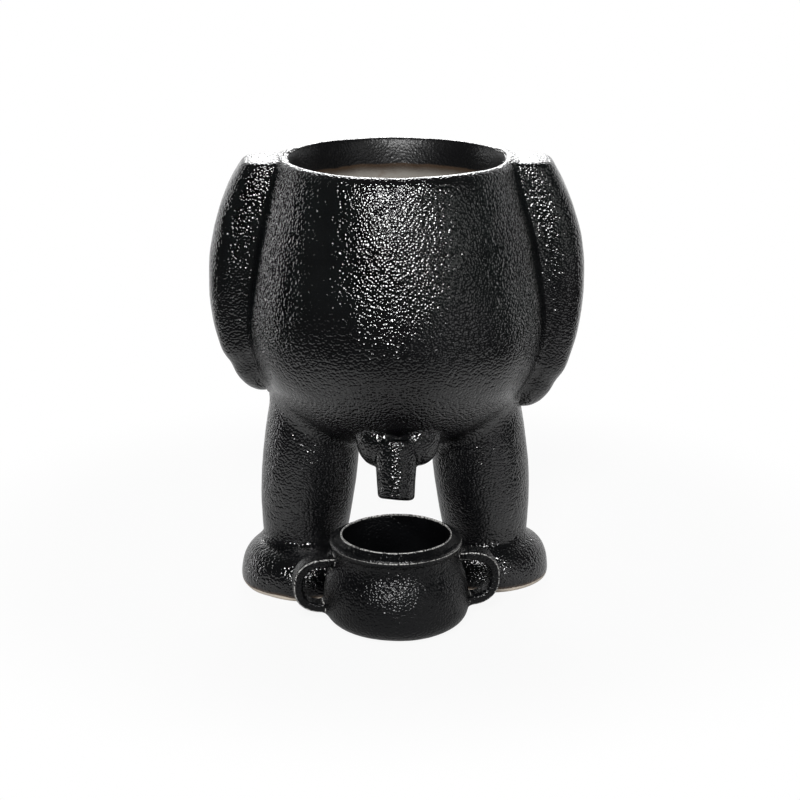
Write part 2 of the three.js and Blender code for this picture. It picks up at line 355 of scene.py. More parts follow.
class Contact:
    """The surface of a skin, as its neighbours feel it."""

    CLOSE = 0.25

    def __init__(self, skin: Skin) -> None:
        """Sorts the skin's faces for finding the nearest one.

        Args:
            skin: The skin as it is now.
        """
        self.tree = BVHTree.FromPolygons(skin.points.tolist(), skin.polygons())
        self.low = skin.points.min(0)
        self.high = skin.points.max(0)

    def near(self, points: Array, reach: float) -> Array:
        """The numbers of the points in or within reach of the skin's box."""
        return np.flatnonzero(
            ((points > self.low - reach) & (points < self.high + reach)).all(axis=1)
        )

    def felt(self, points: Array, reach: float) -> tuple[Array, Array]:
        """How far points stand off the surface, and which way leads out of it.

        Args:
            points: The points, one a row.
            reach: The farthest that matters.

        Returns:
            Each point's gap, below 0 inside the skin and the reach where it is farther, and
            the outward unit direction at the nearest place of the surface.
        """
        gaps = np.full(len(points), reach)
        ways = np.zeros_like(points)
        for i in self.near(points, reach):
            at, normal, _, away = self.tree.find_nearest(points[i], reach)
            if at is not None:
                offset = Vector(points[i]) - at
                gaps[i] = math.copysign(away, offset.dot(normal))
                ways[i] = normal if away < self.CLOSE else offset / gaps[i]
        return gaps, ways

    def shallow(self, points: Array, depth: float) -> Array:
        """Brings points that are sunk deeper than a depth back up to it.

        Args:
            points: The points, one a row.
            depth: How deep below the surface a point may lie.

        Returns:
            The points, moved where they were too deep.
        """
        lifted = points.copy()
        for i in self.near(points, 0.0):
            at, normal, _, away = self.tree.find_nearest(points[i])
            if away > depth and (Vector(points[i]) - at).dot(normal) < 0:
                lifted[i] = at - normal * depth
        return lifted


def luted(
    skin: Skin, joints: Iterable[tuple[Contact, float]], least_heading: float = 0.2
) -> Skin:
    """Fills the corners between a skin's outside and its neighbours with slip.

    The skin rises to where its own distance and the neighbour's blend into one smooth
    surface. The neighbour rises to the same surface, and each runs out just below the
    other past the middle of the corner.

    Args:
        skin: The skin that is raised.
        joints: Each neighbour with how far its slip reaches.
        least_heading: The floor of the squared length of a blended direction, which bounds
            the rise where the two surfaces face each other.

    Returns:
        The same skin.
    """
    outside = np.flatnonzero(skin.outside())
    points = skin.points[outside]
    normals = skin.normals()[outside]
    shift = np.zeros_like(points)
    for contact, reach in joints:
        gap, way = contact.felt(points, reach)
        sunk = np.clip(-gap, 0.0, reach)
        blend = np.clip(1.0 - np.abs(gap) / reach, 0.0, 1.0) / 2
        own = np.where(gap > 0, 1.0 - blend, blend)[:, None]
        heading = own * normals + (1.0 - own) * way
        rise = (sunk + reach * blend**2) * (1.0 - (sunk / reach) ** 2) ** 2
        length = np.maximum((heading**2).sum(axis=1), least_heading)
        shift += heading * (rise / length)[:, None]
    skin.points[outside] += shift
    return skin


def seated(skin: Skin, host: Contact, slip: float, sunk: float) -> Skin:
    """Fills the corner between a piece and its host, and keeps the piece's root in the host's wall.

    Args:
        skin: The piece.
        host: The piece that it is luted to.
        slip: How far the slip reaches.
        sunk: How deep the root may lie below the host's surface.

    Returns:
        The same skin.
    """
    skin = luted(skin, [(host, slip)])
    skin.points = host.shallow(skin.points, sunk)
    return skin


@dataclass(frozen=True)
class Waviness:
    """The unevenness of hand-finished clay, as a sum of seeded plane waves."""

    wavelength: float
    height: float
    seed: int
    spread: float = 0.35
    waves: int = 40

    def at(self, points: Array) -> Array:
        """Adds up the waves.

        Args:
            points: The points, one a row.

        Returns:
            How far each point rises, in millimetres.
        """
        draw = np.random.default_rng(self.seed)
        heading = draw.normal(size=(self.waves, 3))
        heading /= np.linalg.norm(heading, axis=1, keepdims=True)
        length = self.wavelength * draw.uniform(1 - self.spread, 1 + self.spread, self.waves)
        phase = draw.uniform(0, 2 * np.pi, self.waves)
        waves = np.cos(points @ (2 * np.pi * heading / length[:, None]).T + phase)
        return waves.sum(axis=1) * self.height * math.sqrt(2 / self.waves)


HAND_MADE = (
    Waviness(wavelength=24.0, height=0.12, seed=3),
    Waviness(wavelength=9.0, height=0.025, seed=11),
    Waviness(wavelength=3.0, height=0.008, seed=29, waves=64),
)


def hand_finished(skin: Skin, share: float) -> Skin:
    """Gives a skin the slow unevenness of clay that was wiped and glazed by hand."""
    return skin.raised(share * sum(wave.at(skin.points) for wave in HAND_MADE))


# Shader writing


class Signal:
    """A shader socket that takes part in Python arithmetic."""

    def __init__(self, recipe: "Recipe", socket: Socket) -> None:
        """Wraps a node's output socket for its recipe."""
        self.recipe = recipe
        self.socket = socket

    def _math(self, operation: str, *operands: "Signal | float") -> "Signal":
        """One Math node on the operands."""
        return self.recipe.signal(
            0, "ShaderNodeMath", {"operation": operation}, dict(enumerate(operands))
        )

    def __add__(self, other: "Signal | float") -> "Signal":
        """The sum."""
        return self._math("ADD", self, other)

    def __radd__(self, other: float) -> "Signal":
        """The sum, with a number first."""
        return self._math("ADD", other, self)

    def __sub__(self, other: "Signal | float") -> "Signal":
        """The difference."""
        return self._math("SUBTRACT", self, other)

    def __rsub__(self, other: float) -> "Signal":
        """The difference, with a number first."""
        return self._math("SUBTRACT", other, self)

    def __mul__(self, other: "Signal | float") -> "Signal":
        """The product."""
        return self._math("MULTIPLY", self, other)

    def __rmul__(self, other: float) -> "Signal":
        """The product, with a number first."""
        return self._math("MULTIPLY", other, self)

    def __truediv__(self, other: "Signal | float") -> "Signal":
        """The quotient."""
        return self._math("DIVIDE", self, other)

    def __rtruediv__(self, other: float) -> "Signal":
        """The quotient, with a number first."""
        return self._math("DIVIDE", other, self)

    def most(self, other: "Signal | float") -> "Signal":
        """The larger of two values."""
        return self._math("MAXIMUM", self, other)

    def eased(self, low: float, high: float) -> "Signal":
        """Goes smoothly from 0 to 1.

        Args:
            low: The value that gives 0.
            high: The value that gives 1, which may be the smaller.

        Returns:
            The eased value.
        """
        span = {"From Min": min(low, high), "From Max": max(low, high)}
        ends = {"To Min": float(low > high), "To Max": float(low < high)}
        return self.recipe.signal(
            "Result",
            "ShaderNodeMapRange",
            {"interpolation_type": "SMOOTHSTEP"},
            {"Value": self, **span, **ends},
        )


class Recipe:
    """Writes the nodes of one material or world."""

    NOISE_MIDDLE = 0.5
    NOISE_SWING = 0.25

    def __init__(self, owner: bpy.types.Material | bpy.types.World) -> None:
        """Clears the owner's node tree for writing.

        Args:
            owner: The material or world that is written.
        """
        owner.use_nodes = True
        self.tree = owner.node_tree
        self.tree.nodes.clear()

    def node(self, kind: str, settings: Settings = None, inputs: Inputs = None) -> bpy.types.Node:
        """Makes one node.

        Args:
            kind: The node's type name.
            settings: Its own settings, which are set first.
            inputs: Values or signals for its sockets, by name or number.

        Returns:
            The new node.
        """
        made = self.tree.nodes.new(kind)
        for key, value in (settings or {}).items():
            setattr(made, key, value)
        for key, value in (inputs or {}).items():
            if isinstance(value, Signal):
                value = value.socket
            if isinstance(value, Socket):
                self.tree.links.new(value, made.inputs[key])
            else:
                made.inputs[key].default_value = value
        return made

    def signal(
        self, output: str | int, kind: str, settings: Settings = None, inputs: Inputs = None
    ) -> Signal:
        """Makes one node and takes the output of that name or number as a signal."""
        return Signal(self, self.node(kind, settings, inputs).outputs[output])

    def place(self) -> Socket:
        """Reads the point on the piece, in millimetres.

        Returns:
            The vector socket of the object's own coordinates.
        """
        coordinates = self.node("ShaderNodeTexCoord")
        scaled = self.node(
            "ShaderNodeVectorMath",
            {"operation": "SCALE"},
            {0: coordinates.outputs["Object"], "Scale": 1 / METRES},
        )
        return scaled.outputs["Vector"]

    def parts(self, vector: Socket) -> tuple[Signal, Signal, Signal]:
        """The three components of a vector."""
        split = self.node("ShaderNodeSeparateXYZ", inputs={"Vector": vector})
        return tuple(Signal(self, output) for output in split.outputs)

    def attribute(self, name: str) -> Signal:
        """A value that the mesh carries at its points."""
        return self.signal("Fac", "ShaderNodeAttribute", {"attribute_name": name})

    def noise(self, place: Socket, size: float, detail: float, twist: float = 0.0) -> Signal:
        """Cloudy noise.

        Args:
            place: The point on the piece, in millimetres.
            size: The size of its features, in millimetres.
            detail: How many finer octaves it has.
            twist: How much it is distorted.

        Returns:
            A value that swings about its middle.
        """
        return self.signal(
            "Fac",
            "ShaderNodeTexNoise",
            inputs={"Vector": place, "Scale": 1 / size, "Detail": detail, "Distortion": twist},
        )

    def pebbles(self, place: Socket, size: float, softness: float) -> Signal:
        """The distance from the middles of scattered soft cells.

        Args:
            place: The point on the piece, in millimetres.
            size: The spacing of the cells, in millimetres.
            softness: How far the cells melt together, from 0 to 1.

        Returns:
            A value from 0 at a middle to about 0.7 between cells.
        """
        return self.signal(
            "Distance",
            "ShaderNodeTexVoronoi",
            {"feature": "SMOOTH_F1"},
            {"Vector": place, "Scale": 1 / size, "Smoothness": softness},
        )

    def mixed(self, share: Signal, first: object, second: object) -> Socket:
        """A colour that goes from the first to the second."""
        node = self.node(
            "ShaderNodeMix", {"data_type": "RGBA"}, {"Factor": share, 6: first, 7: second}
        )
        return node.outputs[2]

    def bump(self, height: Signal) -> Socket:
        """The normal of a surface with that relief, whose height is in millimetres."""
        node = self.node("ShaderNodeBump", inputs={"Height": height, "Distance": METRES})
        return node.outputs["Normal"]

    def ray(self, *kinds: str) -> Signal:
        """Tells rays apart.

        Args:
            kinds: Names of outputs of the light path.

        Returns:
            1 where the ray that sees the surface is of one of the kinds, and otherwise 0.
        """
        path = self.node("ShaderNodeLightPath")
        found = Signal(self, path.outputs[kinds[0]])
        for kind in kinds[1:]:
            found = found.most(Signal(self, path.outputs[kind]))
        return found


def tone(red: float, green: float, blue: float) -> Colour:
    """An opaque colour."""
    return (red, green, blue, 1.0)


WHITE = tone(1.0, 1.0, 1.0)


@dataclass(frozen=True)
class Clay:
    """The fired body where no glaze covers it."""

    pale: Colour = tone(0.60, 0.53, 0.45)
    toasted: Colour = tone(0.42, 0.31, 0.22)
    roughness: float = 0.86
    grain_size: float = 0.35
    grain_height: float = 0.012
    speck_share: float = 0.25
    speck_from: Pair = (0.62, 0.75)
    blush_size: float = 9.0
    blush_share: float = 0.7
    blush_from: Pair = (0.55, 0.78)


@dataclass(frozen=True)
class Glaze:
    """A thick black glaze that has drawn up into small soft lumps."""

    deep: Colour = tone(0.0020, 0.0021, 0.0025)
    lifted: Colour = tone(0.0038, 0.0040, 0.0045)
    thin: Colour = tone(0.050, 0.032, 0.020)
    gloss: Pair = (0.05, 0.12)
    index: float = 1.7
    dome_size: float = 0.72
    dome_height: float = 0.225
    dome_softness: float = 0.3
    lump_size: float = 0.42
    lump_height: float = 0.05
    lump_twist: float = 0.3
    skin_size: float = 0.2
    skin_height: float = 0.004
    drift_size: float = 13.0
    drift_from: Pair = (0.35, 0.7)
    gloss_patches: int = 3
    pinhole_size: float = 3.2
    pinhole_width: float = 0.045
    pinhole_depth: float = 0.10
    # Colour, edge sharpness and patchiness of a painted glint along sharp edges: a painted
    # highlight that stands in for the reflections such edges catch, at the share set in the last
    # field.
    edge_glint: Colour = tone(0.62, 0.61, 0.59)
    glint_from: Pair = (1.35, 2.4)
    glint_patches_from: Pair = (0.34, 0.62)
    breaking: float = 0.0


@dataclass(frozen=True)
class Finish:
    """Glaze over clay, which ends at a wavering line and leaves the clay below it bare."""

    name: str
    glaze: Glaze
    clay: Clay
    edge_height: float
    waver: float
    waver_size: float = 7.0
    edge_width: float = 0.35
    brown_width: float = 1.1

    def material(self) -> bpy.types.Material:
        """Writes the finish as a material.

        Returns:
            The material.
        """
        made = bpy.data.materials.new(self.name)
        recipe = Recipe(made)
        place = recipe.place()
        height = recipe.parts(place)[2]
        wander = recipe.noise(place, self.waver_size, detail=3.0) - recipe.NOISE_MIDDLE
        above = height + wander * (self.waver / recipe.NOISE_SWING) - self.edge_height
        covered = above.eased(0.0, self.edge_width)
        browned = above.eased(self.brown_width, self.edge_width)
        bare = self._clay_colour(recipe, place)
        glazed = self._glaze_colour(recipe, place, browned)
        shader = recipe.node(
            "ShaderNodeBsdfPrincipled",
            inputs={
                "Base Color": recipe.mixed(covered, bare, glazed),
                "Roughness": self._roughness(recipe, place, covered),
                "IOR": self.glaze.index,
                "Normal": recipe.bump(self._relief(recipe, place, covered)),
            },
        )
        recipe.node("ShaderNodeOutputMaterial", inputs={"Surface": shader.outputs["BSDF"]})
        return made

    def _clay_colour(self, recipe: Recipe, place: Socket) -> Socket:
        """Colours the bare clay, which is pale with toasted marks.

        Args:
            recipe: The recipe of the finish's material.
            place: The point on the piece, in millimetres.

        Returns:
            The colour's socket.
        """
        clay = self.clay
        blush = recipe.noise(place, clay.blush_size, detail=4.0).eased(*clay.blush_from)
        speck = recipe.noise(place, clay.grain_size, detail=1.0).eased(*clay.speck_from)
        toasted = blush * clay.blush_share + speck * clay.speck_share
        return recipe.mixed(toasted, clay.pale, clay.toasted)

    def _glaze_colour(self, recipe: Recipe, place: Socket, browned: Signal) -> Socket:
        """Colours the glaze, which drifts a little, turns brown where it ends and, where set, takes
        a painted pale glint along sharp edges.

        Args:
            recipe: The recipe of the finish's material.
            place: The point on the piece, in millimetres.
            browned: How far the glaze has thinned to brown, from 0 to 1.

        Returns:
            The colour's socket.
        """
        glaze = self.glaze
        drift = recipe.noise(place, glaze.drift_size, detail=3.0).eased(*glaze.drift_from)
        body = recipe.mixed(drift, glaze.deep, glaze.lifted)
        # Paints a pale glint in patches over the sharpest edges, a painted highlight in place of
        # their reflections.
        if glaze.breaking:
            glint_patches = recipe.noise(place, glaze.lump_size, detail=1.0).eased(*glaze.glint_patches_from)
            edge_glint = recipe.attribute(BEND).eased(*glaze.glint_from) * glint_patches
            body = recipe.mixed(edge_glint * glaze.breaking, body, glaze.edge_glint)
        return recipe.mixed(browned, body, glaze.thin)

    def _roughness(self, recipe: Recipe, place: Socket, covered: Signal) -> Signal:
        """Sets the roughness, which drifts over the glaze and is high on bare clay.

        Args:
            recipe: The recipe of the finish's material.
            place: The point on the piece, in millimetres.
            covered: 1 where glaze covers the clay, and 0 where it is bare.

        Returns:
            The roughness.
        """
        low, high = self.glaze.gloss
        patch = self.glaze.drift_size / self.glaze.gloss_patches
        glazed = low + recipe.noise(place, patch, detail=3.0) * (high - low)
        return covered * (glazed - self.clay.roughness) + self.clay.roughness

    def _relief(self, recipe: Recipe, place: Socket, covered: Signal) -> Signal:
        """Adds up the lumps, the fine skin, the pinholes and the clay's grain.

        Args:
            recipe: The recipe of the finish's material.
            place: The point on the piece, in millimetres.
            covered: 1 where glaze covers the clay, and 0 where it is bare.

        Returns:
            The height, in millimetres.
        """
        glaze = self.glaze
        cells = recipe.pebbles(place, glaze.dome_size, glaze.dome_softness)
        domes = cells * cells * -glaze.dome_height
        lumps = recipe.noise(place, glaze.lump_size, detail=1.0, twist=glaze.lump_twist)
        skin = recipe.noise(place, glaze.skin_size, detail=2.0) * glaze.skin_height
        pits = recipe.signal(
            "Distance",
            "ShaderNodeTexVoronoi",
            inputs={"Vector": place, "Scale": 1 / glaze.pinhole_size},
        )
        pit = pits.eased(glaze.pinhole_width, 0.0)
        glazed = domes + lumps * glaze.lump_height + skin - pit * glaze.pinhole_depth
        grain = recipe.noise(place, self.clay.grain_size, detail=3.0) * self.clay.grain_height
        return grain + covered * glazed


class Clayware:
    """Makes the finished pieces of one sub-assembly and seats them on its body."""

    def __init__(
        self, body: str, slot: str, finishes: Sequence[Finish], unevenness: float = 1.0
    ) -> None:
        """Writes the finishes.

        Args:
            body: The frame's body that the pieces ride on.
            slot: The record's material slot of the pieces, which is not used.
            finishes: The finishes in the order of the zones.
            unevenness: How much of the hand-made waviness the pieces have.
        """
        self.body = body
        self.slot = slot
        self.materials = [finish.material() for finish in finishes]
        self.unevenness = unevenness

    def add(self, skin: Skin, node: str, place: Triple, turn: float = 0.0) -> bpy.types.Object:
        """Makes one piece that stands for a node of the frame.

        Args:
            skin: The piece's surface, about the sub-assembly's own upright axis.
            node: The node's name, which the piece's name is made of.
            place: Where that axis meets the table.
            turn: How far the piece is turned about the axis, in degrees.

        Returns:
            The piece.
        """
        skin = hand_finished(skin, self.unevenness).rotated("Z", turn)
        skin.points[:, 2] = np.maximum(skin.points[:, 2], 0.0)
        made = skin.moved(place).to_object(f"glazed_{node}", self.materials)
        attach(made, self.body)
        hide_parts(node)
        log.info("%s: %d faces, rides on %s", made.name, len(made.data.polygons), self.body)
        return made


def bored(piece: bpy.types.Object, cutter: bpy.types.Object) -> None:
    """Cuts one object's solid out of a piece and keeps the result as its mesh.

    Args:
        piece: The piece that is cut.
        cutter: The solid that is taken away.
    """
    cut = piece.modifiers.new("bore", "BOOLEAN")
    cut.operation = "DIFFERENCE"
    cut.solver = "EXACT"
    cut.object = cutter
    evaluated = piece.evaluated_get(bpy.context.evaluated_depsgraph_get())
    whole = bpy.data.meshes.new_from_object(evaluated)
    piece.modifiers.clear()
    piece.data = whole


# The planter


@dataclass
class Pot:
    """The round pot: a thin shell with a rolled lip and a bare inside."""

    height: float
    underside: float
    belly_radius: float
    belly_height: float = 77.0
    shoulder_radius: float = 34.6
    lip_height: float = 5.0
    lip_radius: float = 30.8
    mouth_radius: float = 28.6
    mouth_flare: float = 1.0
    mouth_depth: float = 8.0
    wall: float = 4.8
    floor: float = 5.5
    side_pull: float = 15.0
    shoulder_pull: Pair = (3.0, 9.5)
    fine_step: float = 0.62
    inner_step: float = 1.4
    sides: int = 368

    @property
    def shoulder_height(self) -> float:
        """Where the lip begins."""
        return self.height - self.lip_height

    def outside(self, step: float) -> Outline:
        """Draws the outside.

        Args:
            step: The spacing of its points.

        Returns:
            The outline from the middle of the underside to the crest of the lip.
        """
        out, down = self.shoulder_pull
        shoulder = (self.shoulder_radius, self.shoulder_height)
        drawn = Outline((0.0, self.underside), step)
        drawn.oval(
            (0.0, self.belly_height),
            (self.belly_radius, self.belly_height - self.underside),
            (-90.0, 0.0),
        )
        drawn.bend(
            (self.belly_radius, self.belly_height + self.side_pull),
            (shoulder[0] + out, shoulder[1] - down),
            shoulder,
        )
        crest = (self.lip_radius, self.height)
        return drawn.bend((shoulder[0] - out * self.lip_height / down, self.height), crest)

    def skin(self) -> Skin:
        """Draws and turns the whole shell, outside and inside.

        Returns:
            The closed skin.
        """
        drawn = self.outside(self.fine_step)
        out, down = self.shoulder_pull
        within = self.belly_radius - self.wall
        crest = drawn.count
        drawn.bend(
            (self.mouth_radius + self.mouth_flare, self.height),
            (self.mouth_radius, self.height - self.mouth_depth),
        )
        drawn.step = self.inner_step
        drawn.bend(
            (self.mouth_radius + out, self.shoulder_height - down),
            (within, self.belly_height + self.side_pull),
            (within, self.belly_height),
        )
        depth = self.belly_height - self.underside - self.floor
        drawn.oval((0.0, self.belly_height), (within, depth), (0.0, -90.0))
        drawn.points[-1][0] = 0.0
        drawn.points[0][0] = 0.0
        return Skin.turned(drawn, self.sides, inside_from=crest)

    def plug(self, step: float = 1.2, sides: int = 200) -> Skin:
        """Fills the outside and carries it on above the lip, for measuring against.

        Args:
            step: The spacing of its points.
            sides: How many facets go round.

        Returns:
            The closed skin.
        """
        above = 2 * self.height
        drawn = self.outside(step).bend((self.lip_radius, above)).bend((0.0, above))
        drawn.points[0][0] = 0.0
        return Skin.turned(drawn, sides)

    def radius_at(self, height: float) -> float:
        """The outside radius at a height."""
        points = np.array(self.outside(self.fine_step).points)
        return float(np.interp(height, points[:, 1], points[:, 0]))

    def underside_at(self, radius: float) -> float:
        """The height of the underside at a distance from the axis."""
        share = min(1.0, radius / self.belly_radius)
        return self.belly_height - (self.belly_height - self.underside) * math.sqrt(1 - share**2)


@dataclass
class Arm:
    """One arm: a flattened crescent with a blunt shoulder, a wrist fold and a rounded hand."""

    side: Side
    length: float
    shoulder_width: float
    hand_width: float
    reach: float
    width: float = 22.0
    depth: float = 24.4
    shoulder_depth: float = 20.0
    hand_depth: float = 18.5
    set_back: float = 2.4
    hand_set_back: float = 1.4
    top_drop: float = 0.1
    hand_length: float = 11.0
    wrist_depth: float = 0.5
    wrist_width: float = 2.4
    cuff_height: float = 0.18
    cuff_above: float = 1.6
    cuff_spread: float = 1.5
    shoulder_bluntness: float = 80.0
    hand_bluntness: float = 8.0
    squareness: float = 0.64
    rings: int = 150
    sides: int = 150

    def skin(self, pot: Pot) -> Skin:
        """The whole arm, whose inner half lies in the pot.

        Args:
            pot: The pot that carries it.

        Returns:
            The closed skin, on its own side.
        """
        top = pot.height - self.top_drop
        bottom = top - self.length
        start = np.array([pot.radius_at(top), self.set_back, top])
        end = np.array([pot.radius_at(bottom), self.hand_set_back, bottom])
        pull = (start + end) / 2
        pull[0] = 2 * self.reach - self.width - pull[0]
        share = (1 - np.cos(np.linspace(0.0, np.pi, self.rings + 1)[1:-1])) / 2
        spine = bezier(np.array([start, pull, end]), share)
        along = np.gradient(spine, share, axis=0)
        length = np.linalg.norm(np.diff(spine, axis=0), axis=1).sum()
        outward = np.stack([-along[:, 2], np.zeros_like(share), along[:, 0]], 1)
        outward /= np.linalg.norm(outward, axis=1, keepdims=True)
        level = np.clip(1 - 2 * share, 0.0, 1.0)[:, None] ** 2
        outward = outward * (1 - level) + np.array([1.0, 0.0, 0.0]) * level
        across, deep = self._section(share, length)
        angle = np.linspace(0.0, 2 * np.pi, self.sides, endpoint=False)
        cosine = squared(np.cos(angle), self.squareness)
        sine = squared(np.sin(angle), self.squareness)
        backward = np.array([0.0, 1.0, 0.0])
        rings = [
            middle + np.outer(w * cosine, out) + np.outer(d * sine, backward)
            for middle, out, w, d in zip(spine, outward, across, deep)
        ]
        skin = Skin.lofted([end[None], *rings[::-1], start[None]])
        skin.moved((self.reach - skin.points[:, 0].max(), 0.0, 0.0))
        return skin.mirrored(self.side)

    def _section(self, share: Array, length: float) -> tuple[Array, Array]:
        """The half width and half depth along the arm.

        Args:
            share: Where along the arm, from 0 at the shoulder to 1 at the hand.
            length: The arm's length.

        Returns:
            The two arrays.
        """
        towards = 2 * share - 1
        upper = towards < 0
        bluntness = np.where(upper, self.shoulder_bluntness, self.hand_bluntness)
        fullness = np.sqrt(1 - np.abs(towards) ** bluntness)
        end_width = np.where(upper, self.shoulder_width, self.hand_width)
        end_depth = np.where(upper, self.shoulder_depth, self.hand_depth)
        from_wrist = ((1 - share) * length - self.hand_length) / self.wrist_width
        fold = self.cuff_height * np.exp(-((from_wrist - self.cuff_above) ** 2) / self.cuff_spread)
        fold -= self.wrist_depth * np.exp(-(from_wrist**2))
        across = fullness * (self.width + (end_width - self.width) * towards**2) / 2 + fold
        deep = fullness * (self.depth + (end_depth - self.depth) * towards**2) / 2 + fold
        return across, deep


@dataclass
class Leg:
    """One leg: a barrel from the ankle up into the pot's underside."""

    side: Side
    out: float
    splay: float = 5.0
    ankle_height: float = 12.2
    ankle_radius: float = 11.8
    calf_radius: float = 13.7
    hip_radius: float = 12.5
    overrun: float = 12.0
    sunk: float = 4.0
    step: float = 0.55
    sides: int = 150

    def skin(self, pot: Pot) -> Skin:
        """Draws and turns the leg, whose upper end lies in the pot.

        Args:
            pot: The pot that it carries.

        Returns:
            The closed skin, on its own side.
        """
        rise = pot.underside_at(self.out + self.hip_radius / 2) - self.ankle_height
        # The handles that carry the side through the calf's radius halfway up
        bulge = (8 * self.calf_radius - self.ankle_radius - self.hip_radius) / 6
        drawn = Outline((0.0, -self.sunk), self.step)
        drawn.bend((self.ankle_radius, -self.sunk)).bend((self.ankle_radius, 0.0))
        drawn.bend((bulge, rise / 3), (bulge, 2 * rise / 3), (self.hip_radius, rise))
        drawn.bend((self.hip_radius, rise + self.overrun)).bend((0.0, rise + self.overrun))
        skin = Skin.turned(drawn, self.sides).rotated("Y", -self.splay)
        return skin.moved((self.out, 0.0, self.ankle_height)).mirrored(self.side)


@dataclass
class Foot:
    """One foot: a bun with a flat sole that has a small vent."""

    side: Side
    out: float
    ahead: float
    stretch: float
    height: float = 12.2
    radius: float = 18.0
    ankle_radius: float = 11.8
    sole_radius: float = 16.4
    sole_edge: float = 2.4
    vent_radius: float = 3.0
    vent_depth: float = 4.0
    step: float = 0.5
    sides: int = 210

    def skin(self) -> Skin:
        """Draws and turns the foot.

        Returns:
            The closed skin, on its own side.
        """
        drawn = Outline((0.0, self.vent_depth), self.step)
        drawn.bend((self.vent_radius, self.vent_depth)).bend((self.vent_radius, 0.0))
        drawn.bend((self.sole_radius, 0.0))
        drawn.bend((self.radius, 0.0), (self.radius, self.sole_edge))
        drawn.bend(
            (self.radius, self.height / 2 + self.sole_edge),
            ((self.radius + self.ankle_radius) / 2, self.height - self.sole_edge / 3),
            (self.ankle_radius, self.height),
        )
        drawn.bend((0.0, self.height))
        skin = Skin.turned(drawn, self.sides)
        skin.points[:, 1] *= self.stretch
        return skin.moved((self.out, -self.ahead, 0.0)).mirrored(self.side)


@dataclass
class Spout:
    """The drain spout: a tapered stub that leans forward about its top front edge, with a bore."""

    top_height: float
    front: float
    length: float = 16.0
    lean: float = 16.5
    top_radius: float = 6.1
    tip_radius: float = 5.05
    top_edge: float = 1.0
    tip_edge: float = 1.6
    bore_edge: float = 0.5
    bore_radius: float = 2.3
    bore_cover: float = 2.8
    drain_fall: float = 14.0
    drain_length: float = 26.0
    lower_right: float = 0.06
    step: float = 0.35
    sides: int = 100

    @property
    def middle(self) -> float:
        """How far the middle of the spout's top is from the pot's axis."""
        return self.front - self.top_radius

    def skin(self) -> Skin:
        """Draws, turns and leans the spout, whose back lies in the pot.

        Returns:
            The closed skin.
        """
        tip, bore = -self.length, self.bore_radius
        drawn = Outline((0.0, -self.bore_cover), self.step)
        drawn.bend((bore, -self.bore_cover)).bend((bore, tip + self.bore_edge))
        drawn.bend((bore, tip), (bore + self.bore_edge, tip))
        drawn.bend((self.tip_radius - self.tip_edge, tip))
        drawn.bend((self.tip_radius, tip), (self.tip_radius, tip + self.tip_edge))
        drawn.bend((self.top_radius, -self.top_edge))
        drawn.bend((self.top_radius, 0.0), (self.top_radius - self.top_edge, 0.0)).bend((0.0, 0.0))
        skin = Skin.turned(drawn, self.sides)
        lowered = np.clip(skin.points[:, 2] / tip, 0.0, 1.0)
        skin.points[:, 2] -= self.lower_right * skin.points[:, 0] * lowered
        return self._placed(skin)

    def plug(self) -> Skin:
        """Fills the spout's outside, for measuring against.

        Returns:
            The closed skin.
        """
        drawn = Outline((0.0, -self.length), self.step).bend((self.tip_radius, -self.length))
        drawn.bend((self.top_radius, 0.0)).bend((0.0, 0.0))
        return self._placed(Skin.turned(drawn, self.sides))

    def drain(self) -> Skin:
        """Draws the rod that is bored from the spout's own bore up through the pot's wall.

        Returns:
            The closed skin.
        """
        drawn = Outline((0.0, 0.0), self.step).bend((self.bore_radius, 0.0))
        drawn.bend((self.bore_radius, self.drain_length)).bend((0.0, self.drain_length))
        rod = Skin.turned(drawn, self.sides).rotated("X", self.drain_fall + self.lean - 90.0)
        return self._placed(rod.moved((0.0, 0.0, -self.bore_cover - self.bore_radius)))

    def _placed(self, skin: Skin) -> Skin:
        """Leans a shape that was drawn down from the middle of the spout's top, and places it."""
        skin.moved((0.0, self.top_radius, 0.0)).rotated("X", -self.lean)
        return skin.moved((0.0, -self.front, self.top_height))


@dataclass
class Lobe:
    """One of the two rounded lobes behind the spout."""

    side: Side
    out: float
    set_back: float = 2.6
    radius: float = 6.4
    drop: float = 7.9
    crown: float = 6.4
    sink: float = 0.8
    step: float = 0.4
    sides: int = 100

    def skin(self, pot: Pot, spout: Spout) -> Skin:
        """Draws and turns the lobe, whose upper half lies in the pot.

        Args:
            pot: The pot that carries it.
            spout: The spout that it hangs behind.

        Returns:
            The closed skin, on its own side.
        """
        back = self.set_back - spout.middle
        height = pot.underside_at(math.hypot(self.out, back)) + self.sink
        drawn = Outline((0.0, -self.drop), self.step)
        drawn.oval((0.0, 0.0), (self.radius, self.drop), (-90.0, 0.0))
        drawn.oval((0.0, 0.0), (self.radius, self.crown), (0.0, 90.0))
        drawn.points[-1][0] = 0.0
        skin = Skin.turned(drawn, self.sides)
        return skin.moved((self.out, back, height)).mirrored(self.side)


